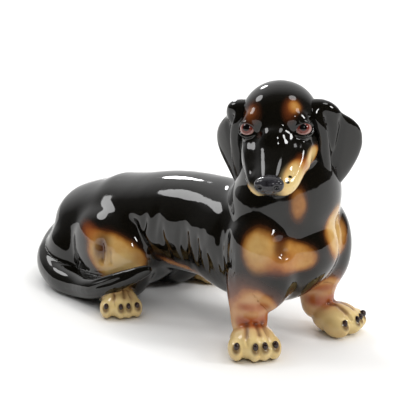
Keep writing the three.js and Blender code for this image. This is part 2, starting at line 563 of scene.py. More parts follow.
def linear(colour: str) -> tuple[float, float, float, float]:
    """Turns an sRGB hex colour into linear values.

    Args:
        colour: Six hex digits.

    Returns:
        Red, green, blue and alpha.
    """
    parts = [int(colour[i : i + 2], 16) / 255 for i in (0, 2, 4)]
    red, green, blue = (p / 12.92 if p <= 0.04045 else ((p + 0.055) / 1.055) ** 2.4 for p in parts)
    return red, green, blue, 1.0


class Recipe:
    """A material's node tree while it is being put together."""

    def __init__(self, name: str) -> None:
        """Starts an empty material.

        Args:
            name: Name of the material.
        """
        self.material = bpy.data.materials.new(name)
        self.material.use_nodes = True
        self.tree = self.material.node_tree
        self.tree.nodes.clear()

    def node(self, kind: str, settings: dict | None = None, inputs: dict | None = None) -> bpy.types.Node:
        """Adds a node with its settings and links.

        Args:
            kind: Blender's name for the kind of node, without the ShaderNode in front.
            settings: Properties of the node.
            inputs: Values for its sockets by name or number. A socket of another node is linked.

        Returns:
            The node.
        """
        made = self.tree.nodes.new("ShaderNode" + kind)
        for key, value in (settings or {}).items():
            setattr(made, key, value)
        for key, value in (inputs or {}).items():
            if isinstance(value, Socket):
                self.tree.links.new(value, made.inputs[key])
            else:
                made.inputs[key].default_value = value
        return made

    def noise(self, spot: Socket, size_mm: float, detail: float) -> Socket:
        """Adds soft cloudy noise whose clouds are about size_mm across."""
        settings = {"Vector": spot, "Scale": 1 / (size_mm * MM), "Detail": detail}
        return self.node("TexNoise", inputs=settings).outputs[0]

    def close(self, shader: bpy.types.Node) -> bpy.types.Material:
        """Joins the shader to the material's output and returns the material."""
        self.node("OutputMaterial", inputs={"Surface": shader.outputs[0]})
        return self.material


MIX_COLOUR = {"data_type": "RGBA"}
MIX_A, MIX_B, MIX_OUT = 6, 7, 2


@dataclass(frozen=True)
class StainedGlaze:
    """Earthenware stained in black, tan, cream and brown under one clear lead-free gloss glaze.

    The glaze is poured, so it is mirror smooth but waves a little. Creases in the tan get painted shade, a
    darker umber tone. Stain edges are sprayed, so they are soft and slightly grainy.
    """

    name: str = "black_and_tan_stain_under_poured_gloss_glaze"
    ramp: tuple[tuple[float, str], ...] = (
        (0.0, "0c0a06"),
        (0.22, "1c110a"),
        (0.42, "4b2a12"),
        (0.62, "94602a"),
        (0.82, "b98a48"),
        (1.0, "c6a063"),
    )
    rust: str = "9a4c22"
    cream: str = "d9c086"
    umber: str = "431a10"
    rose: str = "c08a78"
    ink_and_nostril_shade: str = "0b0807"
    roughness: float = 0.05
    ior: float = 1.5
    clarity: float = 0.5
    grain_mm: float = 12.0
    wave_mm: float = 18.0

    def make(self) -> bpy.types.Material:
        """Builds the material.

        Returns:
            The material.
        """
        recipe = Recipe(self.name)
        add = recipe.node
        spot = add("TexCoord").outputs["Object"]
        coat = {stain: add("Attribute", {"attribute_name": stain.value}).outputs["Fac"] for stain in Stain}
        cloud = recipe.noise(spot, self.grain_mm, 4.0)
        drift = add("MapRange", None, {0: cloud, 1: 0.3, 2: 0.7, 3: 0.84, 4: 1.12}).outputs[0]

        def uneven(stain: Stain) -> Socket:
            """A stain's amount, a little thicker and thinner from place to place."""
            clamped = {"operation": "MULTIPLY", "use_clamp": True}
            return add("Math", clamped, {0: coat[stain], 1: drift}).outputs[0]

        def over(below: Socket, above: str, amount: Socket) -> Socket:
            """Lays one stain over another."""
            return add("Mix", MIX_COLOUR, {0: amount, MIX_A: below, MIX_B: linear(above)}).outputs[MIX_OUT]

        thickness = add("ValToRGB", None, {0: uneven(Stain.TAN)})
        stops = thickness.color_ramp.elements
        stops[0].position, stops[0].color = 0.0, linear(self.ramp[0][1])
        stops[1].position, stops[1].color = 1.0, linear(self.ramp[-1][1])
        for place, colour in self.ramp[1:-1]:
            stops.new(place).color = linear(colour)
        colour = thickness.outputs[0]
        colour = over(colour, self.cream, uneven(Stain.CREAM))
        colour = over(colour, self.rose, uneven(Stain.ROSE))
        colour = over(colour, self.rust, uneven(Stain.RUST))
        colour = over(colour, self.umber, uneven(Stain.UMBER))
        # Painted shade: creases in the tan are darkened towards umber.
        crease_darkening = add("MapRange", None, {0: coat[Stain.POOL], 1: 0.1, 2: 1.0, 3: 0.0, 4: 0.75}).outputs[0]
        painted = add("Math", {"operation": "MULTIPLY"}, {0: crease_darkening, 1: coat[Stain.TAN]}).outputs[0]
        colour = over(colour, self.umber, painted)
        inked_and_nostril_shaded = {0: coat[Stain.INK_AND_NOSTRIL_SHADE], 1: 0.25, 2: 0.75, 3: 0.0, 4: 1.0}
        colour = over(colour, self.ink_and_nostril_shade, add("MapRange", None, inked_and_nostril_shaded).outputs[0])
        wave = recipe.noise(spot, self.wave_mm, 1.5)
        bump = add("Bump", None, {"Strength": 0.16, "Distance": 1.4 * MM, "Height": wave}).outputs[0]
        shader = add(
            "BsdfPrincipled",
            None,
            {
                "Base Color": colour,
                "Roughness": self.roughness,
                "IOR": self.ior,
                "Specular IOR Level": self.clarity,
                "Normal": bump,
            },
        )
        return recipe.close(shader)


@dataclass(frozen=True)
class PlainGlaze:
    """One stain under the clear gloss glaze, a little uneven, as on the nose and the claws, with painted
    shade in the nostrils.
    """

    name: str
    colour: str
    pale: str
    deep: str = "0a0808"
    grain_mm: float = 3.0
    roughness: float = 0.12
    ior: float = 1.5

    def make(self) -> bpy.types.Material:
        """Builds the material.

        Returns:
            The material.
        """
        recipe = Recipe(self.name)
        add = recipe.node
        spot = add("TexCoord").outputs["Object"]
        cloud = recipe.noise(spot, self.grain_mm, 3.0)
        amount = add("MapRange", None, {0: cloud, 1: 0.35, 2: 0.7, 3: 0.0, 4: 1.0}).outputs[0]
        mixed = {0: amount, MIX_A: linear(self.colour), MIX_B: linear(self.pale)}
        colour = add("Mix", MIX_COLOUR, mixed).outputs[MIX_OUT]
        # Painted shade: darkens the inside of the nostrils on the nose.
        ink_and_nostril_shade = add("Attribute", {"attribute_name": Stain.INK_AND_NOSTRIL_SHADE.value}).outputs["Fac"]
        inked_and_nostril_shaded = {0: ink_and_nostril_shade, MIX_A: colour, MIX_B: linear(self.deep)}
        colour = add("Mix", MIX_COLOUR, inked_and_nostril_shaded).outputs[MIX_OUT]
        bump = add("Bump", None, {"Strength": 0.15, "Distance": 0.4 * MM, "Height": cloud}).outputs[0]
        shader = add(
            "BsdfPrincipled",
            None,
            {"Base Color": colour, "Roughness": self.roughness, "IOR": self.ior, "Normal": bump},
        )
        return recipe.close(shader)


@dataclass(frozen=True)
class PaintedEye:
    """A hand-painted eye under clear glaze: a pinkish white, a red-brown iris and a black pupil."""

    name: str
    centre: Vec3
    gaze: Vec3
    radius: float
    white: str = "9c7770"
    iris: str = "6a2a20"
    pupil: str = "070505"
    rim: str = "2a0f0d"

    def make(self) -> bpy.types.Material:
        """Builds the material.

        Returns:
            The material. Its rings are struck around the direction of gaze.
        """
        recipe = Recipe(self.name)
        add = recipe.node
        spot = add("TexCoord").outputs["Object"]
        offset = add("VectorMath", {"operation": "SUBTRACT"}, {0: spot, 1: self.centre}).outputs[0]
        facing = add("VectorMath", {"operation": "NORMALIZE"}, {0: offset}).outputs[0]
        towards = add("VectorMath", {"operation": "DOT_PRODUCT"}, {0: facing, 1: self.gaze}).outputs["Value"]
        angle = add("Math", {"operation": "ARCCOSINE"}, {0: towards}).outputs[0]
        ramp = add("ValToRGB", None, {0: add("MapRange", None, {0: angle, 1: 0.0, 2: 1.2}).outputs[0]})
        stops = ramp.color_ramp.elements
        stops[0].position, stops[0].color = 0.0, linear(self.pupil)
        stops[1].position, stops[1].color = 1.0, linear(self.rim)
        for place, colour in ((0.29, self.pupil), (0.36, self.iris), (0.54, self.iris), (0.62, self.white)):
            stops.new(place).color = linear(colour)
        stops.new(0.82).color = linear(self.white)
        shader = add("BsdfPrincipled", None, {"Base Color": ramp.outputs[0], "Roughness": 0.04, "IOR": 1.5})
        return recipe.close(shader)


# ---- the head ----


@dataclass
class Head:
    """The head casting: skull, cheeks, brows, muzzle and jaw, in a frame that looks along +X."""

    skull: Lump = Lump((6, 0, 12), (32, 33, 31))
    stop: Lump = Lump((34, 0, 9), (18, 15, 15))
    jaw: Roll = Roll(((2, 0, -12, 20, 12), (40, 0, -20, 14, 8), (74, 0, -21, 10, 6)))
    muzzle: Roll = Roll(
        ((8, 0, 6, 28, 22), (38, 0, 0, 21, 18), (62, 0, -6, 16, 14), (86, 0, -8, 12, 10)), blunt=3.5
    )
    cheek: Lump = Lump((17, 16, -6), (28, 18, 21))
    brow: Lump = Lump((24, 16, 22), (12, 11, 9))
    lid: Lump = Lump((29, 22.5, 15), (9.6, 9.6, 9.6))
    lip_corner: Lump = Lump((43, 22, -10), (10, 7, 7))
    lip: Roll = Roll(
        (
            (14, 19, 0, 15, 18),
            (34, 18, -3, 13, 15),
            (52, 14, -8, 12, 12),
            (70, 10, -12, 11, 9.5),
            (82, 7, -13, 8, 8),
        )
    )
    eye_at: Vec3 = (29, 22.5, 15)
    nose_at: Vec3 = (84, 0, -2)
    origin_mm: Vec3 = (95, -1, 191)
    opening: Vec3 = (0.80, 0.36, 0.48)
    gaze: Vec3 = (0.70, 0.18, 0.69)
    lid_half: tuple[float, float] = (6.9, 4.3)
    lid_floor: float = 6.2
    lid_rise: float = 3.5
    lid_fall: float = 0.9
    lid_reach: float = 17.0
    eye_radius: float = 8.0
    eye_room: float = 0.2
    eye_dome: float = 0.5
    place: Matrix = field(default_factory=lambda: Matrix.Identity(4))
    shift: Vector = field(default_factory=Vector)

    def locate(self) -> None:
        """Finds the head's frame from where the CAD eyes and nose are.

        The line between the eyes gives the left direction, and the line from between them to the nose gives
        the rest, because both lines are known in the head's own frame.
        """
        middles = {}
        for node in ("eye_left", "eye_right", "nose_pad"):
            low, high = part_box(node)
            middles[node] = (low + high) / (2 * MM)
        left = (middles["eye_left"] - middles["eye_right"]).normalized()
        between = (middles["eye_left"] + middles["eye_right"]) / 2
        to_nose = (middles["nose_pad"] - between).normalized()
        own = Vector(self.nose_at) - Vector((self.eye_at[0], 0, self.eye_at[2]))
        drop = math.atan2(-own.z, own.x)
        ahead = to_nose * math.cos(drop) + to_nose.cross(left).normalized() * math.sin(drop)
        up = ahead.cross(left)
        turn = Matrix((ahead, left, up)).transposed().to_4x4()
        origin = between - turn.to_3x3() @ Vector((self.eye_at[0], 0, self.eye_at[2]))
        self.shift = origin - Vector(self.origin_mm)
        self.place = Matrix.Translation(Vector(self.origin_mm)) @ turn
        LOG.info("head looks along %s, shift %s mm", tuple(ahead), tuple(self.shift))

    def forms(self) -> list[Form]:
        """The clay forms of the head."""
        pairs = (self.cheek, self.brow, self.lid, self.lip_corner, self.lip)
        return [self.skull, self.stop, self.muzzle, self.jaw, *pairs, *(form.mirrored() for form in pairs)]

    def eye_frame(self, side: Side) -> tuple[Vector, Vector, Vector, Vector]:
        """Finds how one eye's opening lies.

        Args:
            side: Which eye.

        Returns:
            The eye's centre, the way its opening faces, the line of its corners and its up direction.
        """
        hand = side.value
        centre = Vector((self.eye_at[0], self.eye_at[1] * hand, self.eye_at[2]))
        facing = Vector((self.opening[0], self.opening[1] * hand, self.opening[2])).normalized()
        up = Vector((0, 0, 1))
        up = (up - facing * up.dot(facing)).normalized()
        return centre, facing, up.cross(facing), up

    def cut_eyes(self, skin: Skin) -> None:
        """Opens the lids over both eyes, with a raised rim round each opening.

        Args:
            skin: The skin, in the maker's frame.
        """
        points = skin.points()
        matrix = np.array(self.place.inverted())
        local = points @ matrix[:3, :3].T + matrix[:3, 3]
        for side in Side:
            centre, facing, corners, up = (np.array(v) for v in self.eye_frame(side))
            reach = local - centre
            radius = np.linalg.norm(reach, axis=1)
            heading = reach / np.maximum(radius, 1e-6)[:, None]
            near = (radius < self.lid_reach) & (heading @ facing > 0.1)
            across = self.eye_radius * (heading[near] @ corners) / self.lid_half[0]
            tall = self.eye_radius * (heading[near] @ up) / self.lid_half[1]
            share = np.sqrt(across**2 + tall**2)
            wanted = self.lid_floor + self.lid_rise * smooth_step(share, 0.92, 1.1)
            wanted -= self.lid_fall * smooth_step(share, 1.2, 1.7)
            pull = smooth_step(share, 2.1, 1.15) * smooth_step(radius[near], self.lid_reach, 11.5)
            pull *= smooth_step(heading[near] @ facing, 0.1, 0.6)
            radius_new = radius[near] * (1 - pull) + wanted * pull
            local[near] = centre + heading[near] * radius_new[:, None]
        back = np.array(self.place)
        skin.move_to(local @ back[:3, :3].T + back[:3, 3])

    def marks(self) -> tuple[ToolMark, ...]:
        """Sets out the lines tooled into the head.

        Returns:
            The mouth, the lid folds, the hollows under the eyes and the groove under the nose.
        """
        made = [ToolMark(((90, 0, -9), (87, 0, -17)), 1.3, 1.6, fade=0.1)]
        for hand in (1, -1):
            lip = (
                (84, 4 * hand, -18.5),
                (76, 12 * hand, -20.5),
                (66, 18 * hand, -20),
                (57, 20 * hand, -17),
                (50, 22 * hand, -13),
                (46, 25 * hand, -8),
            )
            made.append(ToolMark(lip, 1.6, 3.2, fade=0.08))
            made.append(ToolMark(((52, 22 * hand, -14), (53, 21 * hand, -20)), 1.8, 2.0))
            made.append(ToolMark(((39, 11 * hand, 22), (36, 20 * hand, 26), (28, 31 * hand, 23)), 1.8, 1.3))
            made.append(ToolMark(((40, 13 * hand, 7), (37, 24 * hand, 6), (29, 32 * hand, 11)), 1.8, 1.3))
            made.append(ToolMark(((46, 22 * hand, 3), (60, 18 * hand, -2), (72, 15 * hand, -4)), 3.0, 0.8))
        return tuple(made)

    def stains(self) -> tuple[Spray | Brushed, ...]:
        """Sets out the stains on the head.

        Returns:
            Brow spots, tan muzzle sides and cheek, a painted highlight on the left cheek, whisker dots and
            dark lips.
        """
        made: list[Spray | Brushed] = [
            Spray(Stain.TAN, (22, 15, 30), (8, 6.5, 8), amount=0.86, soft=0.7),
            Spray(Stain.RUST, (24, 12, 29), (8, 5, 8), amount=0.4, soft=0.8),
            Spray(Stain.TAN, (24, -19, 27), (8, 6.5, 7), amount=0.56, soft=0.8),
            Spray(Stain.RUST, (24, -19, 27), (8, 6.5, 7), amount=0.3, soft=0.9),
        ]
        made += [
            Spray(Stain.TAN, (63, 18, -10), (28, 12.5, 13), soft=0.3),
            Spray(Stain.TAN, (40, 32, -8), (15, 12, 10), soft=0.4),
            Spray(Stain.CREAM, (70, 16, -11), (18, 11, 11), amount=0.85, soft=0.5),
            # Painted highlight: a small cream spot where the left cheek catches the light.
            Spray(Stain.CREAM, (40, 30, -5), (8, 7, 6), amount=0.7, soft=0.6),
            Spray(Stain.RUST, (52, 22, -6), (6, 5, 8), amount=0.6, soft=0.7),
            Spray(Stain.TAN, (72, -16, -19), (16, 8, 9), amount=0.95, soft=0.3),
            Spray(Stain.CREAM, (76, -14, -18), (12, 8, 8), amount=0.7, soft=0.5),
        ]
        for hand in (1, -1):
            made.append(Spray(Stain.ROSE, (53, 22 * hand, -17), (4, 4, 6), amount=0.8, soft=0.5))
            mouth = ((82, 5 * hand, -19), (66, 18 * hand, -20), (50, 22 * hand, -13))
            made.append(Brushed(Stain.UMBER, mouth, 1.2))
            chin = ((90, 10 * hand, -7), (89, 6 * hand, -13), (88, 0, -13))
            made.append(Brushed(Stain.CREAM, chin, 2.6, amount=0.8))
            for ahead, height in ((76, -6), (71, -4), (68, -10), (75, -12), (63, -8), (70, -15)):
                spot = (ahead, (15 - 0.3 * (ahead - 66)) * hand, height)
                made.append(Spray(Stain.INK_AND_NOSTRIL_SHADE, spot, (1.5, 6, 1.2), amount=0.85, soft=0.5))
        return tuple(made)

    def nose(self, skin_material: bpy.types.Material) -> bpy.types.Object:
        """Models the nose pad with its two nostrils, painted shade inside them, and the groove between them.

        Args:
            skin_material: Its finish.

        Returns:
            The nose pad.
        """
        x, y, z = self.nose_at
        forms = [
            Lump((x, y, z + 0.5), (8.5, 11, 6.5)),
            Lump((x + 0.5, y + 6.5, z - 0.5), (6.5, 6, 6)),
            Lump((x + 0.5, y - 6.5, z - 0.5), (6.5, 6, 6)),
            Lump((x + 1, y, z - 4), (6.5, 5, 4.5)),
        ]
        skin = Skin("nose_pad", raw_clay(forms, self.place), 0.6)
        skin.sponge(14)
        marks = [ToolMark(((x + 9, 0, z), (x + 8, 0, z - 9)), 0.9, 1.0, fade=0.2)]
        stains = []
        for hand in (1, -1):
            hole = ((x + 8, 5.5 * hand, z), (x + 6.5, 7.5 * hand, z + 0.5), (x + 4, 10 * hand, z - 1.5))
            marks.append(ToolMark(hole, 1.9, 2.6, fade=0.15))
            # Painted shade inside each nostril.
            stains.append(Brushed(Stain.INK_AND_NOSTRIL_SHADE, hole[:2], 2.3, soft=0.35))
        placed = [Placed(self.place.inverted(), tuple(marks), tuple(stains))]
        skin.press(placed)
        skin.sponge(1)
        skin.stain(placed)
        return finish_piece("nose_pad_modelled", skin.mesh, self.shift, skin_material)

    def eye(self, side: Side) -> bpy.types.Object:
        """Models one eyeball, slightly domed at the front, and paints it.

        Args:
            side: Which eye.

        Returns:
            The eyeball.
        """
        centre, _, _, _ = self.eye_frame(side)
        middle = self.place @ centre
        hand = side.value
        gaze = (self.place.to_3x3() @ Vector((self.gaze[0], self.gaze[1] * hand, self.gaze[2]))).normalized()
        bm = bmesh.new()
        turn = gaze.to_track_quat("Z", "Y").to_matrix().to_4x4()
        matrix = Matrix.Translation(middle) @ turn
        ball = bmesh.ops.create_uvsphere(
            bm, u_segments=48, v_segments=32, radius=self.eye_radius - self.eye_room, matrix=matrix
        )
        for vert in ball["verts"]:
            towards = (vert.co - middle).normalized().dot(gaze)
            vert.co += gaze * self.eye_dome * max(0.0, towards - 0.8) / 0.2
        mesh = bpy.data.meshes.new(f"eye_{side.word}")
        bm.to_mesh(mesh)
        bm.free()
        spot = (middle + self.shift) * MM
        finish = PaintedEye(f"hand_painted_eye_{side.word}", tuple(spot), tuple(gaze), self.eye_radius * MM)
        return finish_piece(f"eye_{side.word}_painted", mesh, self.shift, finish.make())


# ---- the ears ----


@dataclass
class Ear:
    """An ear leather: a folded flap that hangs from the side of the skull. Its frame is the head's."""

    side: Side
    head: Head
    flare: float

    def forms(self) -> list[Form]:
        """Sets out the clay forms of the ear.

        Returns:
            The leather, its rolled front edge and the fold over its shoulder.
        """
        hand, out = self.side.value, self.flare
        lie = (0.58, -0.81 * hand, 0.0)
        leather = Roll(
            (
                (5, 29 * hand, 24, 10, 6),
                (4, 42 * hand * out, 9, 11, 5.5),
                (3, 51 * hand * out, -15, 20 * out, 5),
                (8, 46 * hand * out, -38, 16 * out, 5),
                (12, 38 * hand, -61, 7, 4.5),
            ),
            side=lie,
        )
        front = Roll(
            (
                (10, 25 * hand, 24, 7, 6),
                (15, 35 * hand, 11, 6.5, 5.5),
                (19, 37 * hand, -12, 6, 5.5),
                (17, 37 * hand, -36, 6.5, 5.5),
                (14, 36 * hand, -61, 6, 5),
            ),
            side=lie,
        )
        shoulder = Roll(
            (
                (4, 22 * hand, 24, 8, 6),
                (6, 36 * hand, 20, 9, 6),
                (4, 45 * hand * out, 11, 8, 5.5),
                (6, 47 * hand * out, -4, 5, 4.5),
            ),
            side=lie,
        )
        return [leather, front, shoulder]

    def marks(self) -> tuple[ToolMark, ...]:
        """Sets out the folds pressed into the leather.

        Returns:
            A groove with a ridge before it at the front edge, and a groove under the shoulder.
        """
        hand, out = self.side.value, self.flare
        behind = (
            (10, 36 * hand, 22),
            (14, 43 * hand, 8),
            (16, 45 * hand, -14),
            (15, 44 * hand, -36),
            (15, 42 * hand, -52),
        )
        under = (
            (4, 49 * hand * out, 14),
            (5, 51 * hand * out, 2),
            (11, 48 * hand * out, -14),
            (15, 44 * hand, -32),
        )
        edge = tuple((x + 1, y - 5 * hand, z) for x, y, z in behind)
        return (
            ToolMark(behind, 2.6, 3.4, fade=0.15),
            ToolMark(edge, 2.4, -1.4, fade=0.15),
            ToolMark(under, 2.6, 2.4, fade=0.25),
        )

    def model(self, material: bpy.types.Material) -> bpy.types.Object:
        """Fuses, smooths and tools the ear.

        Args:
            material: Its finish.

        Returns:
            The ear.
        """
        skin = Skin(f"ear_{self.side.word}", raw_clay(self.forms(), self.head.place), 1.0)
        skin.sponge(70, full=True)
        placed = [Placed(self.head.place.inverted(), self.marks())]
        skin.press(placed)
        skin.sponge(3)
        skin.stain(placed)
        return finish_piece(f"ear_{self.side.word}_leather", skin.mesh, self.head.shift, material)


# ---- body, legs and tail ----


@dataclass
class Torso:
    """The body casting: barrel, neck, haunches and shoulders."""

    barrel: Roll = Roll(
        (
            (-184, 4, 38, 28, 30),
            (-152, -2, 50, 53, 50),
            (-100, 0, 56, 53, 57),
            (-45, 0, 77, 42, 46),
            (10, 0, 83, 41, 47),
            (60, 0, 80, 50, 54),
            (105, 8, 84, 58, 58),
            (142, 12, 86, 46, 46),
        ),
        blunt=2.6,
        rings=110,
        facets=120,
    )
    neck: Roll = Roll(
        ((80, 4, 90, 54, 50), (94, 8, 130, 50, 46), (95, 4, 164, 40, 38), (94, 0, 192, 28, 26)),
        blunt=4,
        facets=110,
    )
    haunches: tuple[Lump, ...] = (
        Lump((-88, 33, 45), (54, 29, 46), (0, 7, 6)),
        Lump((-88, -33, 45), (54, 29, 46), (0, 7, -6)),
    )
    rump: tuple[Lump, ...] = (Lump((-140, -34, 30), (34, 24, 36)), Lump((-140, 34, 30), (34, 24, 36)))
    shoulders: tuple[Lump, ...] = (Lump((96, 44, 78), (36, 26, 48)), Lump((96, -28, 78), (36, 26, 48)))
    comb_strokes: int = 30
    shoulder_strokes: int = 7
    comb_seed: int = 7

    def forms(self) -> list[Form]:
        """The clay forms of the body."""
        return [self.barrel, self.neck, *self.haunches, *self.rump, *self.shoulders]

    def marks(self) -> tuple[ToolMark, ...]:
        """Sets out the lines tooled into the body.

        Returns:
            Combed flanks, and folds at the haunch, stifle, neck and chest.
        """
        made = []
        draw = random.Random(self.comb_seed)
        for hand in (1, -1):
            y = 44 * hand
            for _ in range(self.comb_strokes):
                x, top = draw.uniform(-36, 72), draw.uniform(82, 112)
                low = top - draw.uniform(16, 52)
                lean = draw.uniform(-7, 9)
                path = ((x, y, top), (x + lean * 0.2, y, (top + low) / 2), (x + lean, y, low))
                width, depth = draw.uniform(1.8, 5.0), draw.uniform(0.2, 1.5)
                made.append(ToolMark(path, width, depth, fade=0.45, weigh=(1, 0.12, 1)))
            for step in range(self.shoulder_strokes):
                x, drop = 60 + step * 4.5, 4 * step
                path = (
                    (x, 48 * hand, 118 - step * 3),
                    (x + 1, 52 * hand, 96 - drop),
                    (x + 7, 54 * hand, 70 - drop),
                )
                made.append(ToolMark(path, 2.4, draw.uniform(0.7, 1.6), fade=0.4, weigh=(1, 0.12, 1)))
            haunch = ((-32, 42 * hand, 40), (-36, 46 * hand, 62), (-48, 46 * hand, 80), (-62, 44 * hand, 88))
            made.append(ToolMark(haunch, 4.5, 3.2, fade=0.35, weigh=(1, 0.2, 1)))
            stifle = ((-76, 62 * hand, 66), (-72, 62 * hand, 54), (-72, 62 * hand, 38))
            made.append(ToolMark(stifle, 4.0, 3.4, fade=0.3, weigh=(1, 0.3, 1)))
            made.append(ToolMark(((-63, 62 * hand, 60), (-60, 62 * hand, 40)), 3.0, 1.6, weigh=(1, 0.3, 1)))
        made.append(ToolMark(((123, -40, 108), (127, -36, 97), (131, -31, 84)), 4.0, 3.2, weigh=(1, 0.6, 1)))
        for x in (58, 66, 75):
            fold = ((x, -44, 148), (x + 2, -50, 126), (x + 8, -56, 104))
            made.append(ToolMark(fold, 2.6, 2.0, weigh=(1, 0.5, 1)))
        for y in (34, 42):
            chest = ((128, y, 112), (134, y, 96), (136, y - 3, 80))
            made.append(ToolMark(chest, 3.0, 1.8, weigh=(0.3, 1, 1)))
        return tuple(made)

    def stains(self) -> tuple[Spray | Brushed, ...]:
        """Sets out the stains on the body.

        Returns:
            Two chest patches, a throat streak, tan haunches and a belly line.
        """
        made: list[Spray | Brushed] = [
            Spray(Stain.TAN, (114, -48, 94), (17, 15, 21), amount=0.84, soft=0.5),
            Spray(Stain.TAN, (128, -28, 87), (15, 16, 15), amount=0.8, soft=0.55),
            Spray(Stain.TAN, (136, -14, 84), (12, 12, 12), amount=0.72, soft=0.6),
            Spray(Stain.RUST, (126, -34, 84), (20, 20, 9), amount=0.45, soft=0.8),
            Spray(Stain.CREAM, (113, -50, 92), (9, 10, 13), amount=0.35, soft=0.8),
            Spray(Stain.UMBER, (127, -36, 98), (5, 6, 11), amount=0.95, soft=0.7),
            Spray(Stain.TAN, (137, 28, 98), (19, 21, 25), amount=0.92, soft=0.4),
            Spray(Stain.CREAM, (137, 30, 103), (13, 13, 16), amount=0.45, soft=0.7),
            Spray(Stain.TAN, (131, -19, 132), (9, 8, 17), amount=0.66, soft=0.65),
        ]
        for hand in (1, -1):
            side = 60 * hand
            made += [
                Spray(Stain.TAN, (-57, side, 49), (36, 24, 22), (0, 18, 0), soft=0.35),
                Spray(Stain.CREAM, (-52, side, 44), (20, 20, 12), amount=0.4, soft=0.7),
                Spray(Stain.UMBER, (-73, 62 * hand, 58), (9, 16, 14), (0, 10, 0), amount=0.85, soft=0.7),
                Spray(Stain.RUST, (-92, 58 * hand, 68), (14, 14, 6), (0, 12, 0), amount=0.5, soft=0.8),
                Spray(Stain.TAN, (-92, 58 * hand, 68), (14, 14, 6), (0, 12, 0), amount=0.45, soft=0.8),
            ]
            belly = ((-38, 47 * hand, 52), (-14, 34 * hand, 47), (10, 30 * hand, 44), (32, 27 * hand, 40))
            made.append(Brushed(Stain.TAN, belly, 7.0, amount=0.8, soft=0.6))
            made.append(Brushed(Stain.RUST, belly, 5.0, amount=0.3, soft=0.9))
        return tuple(made)


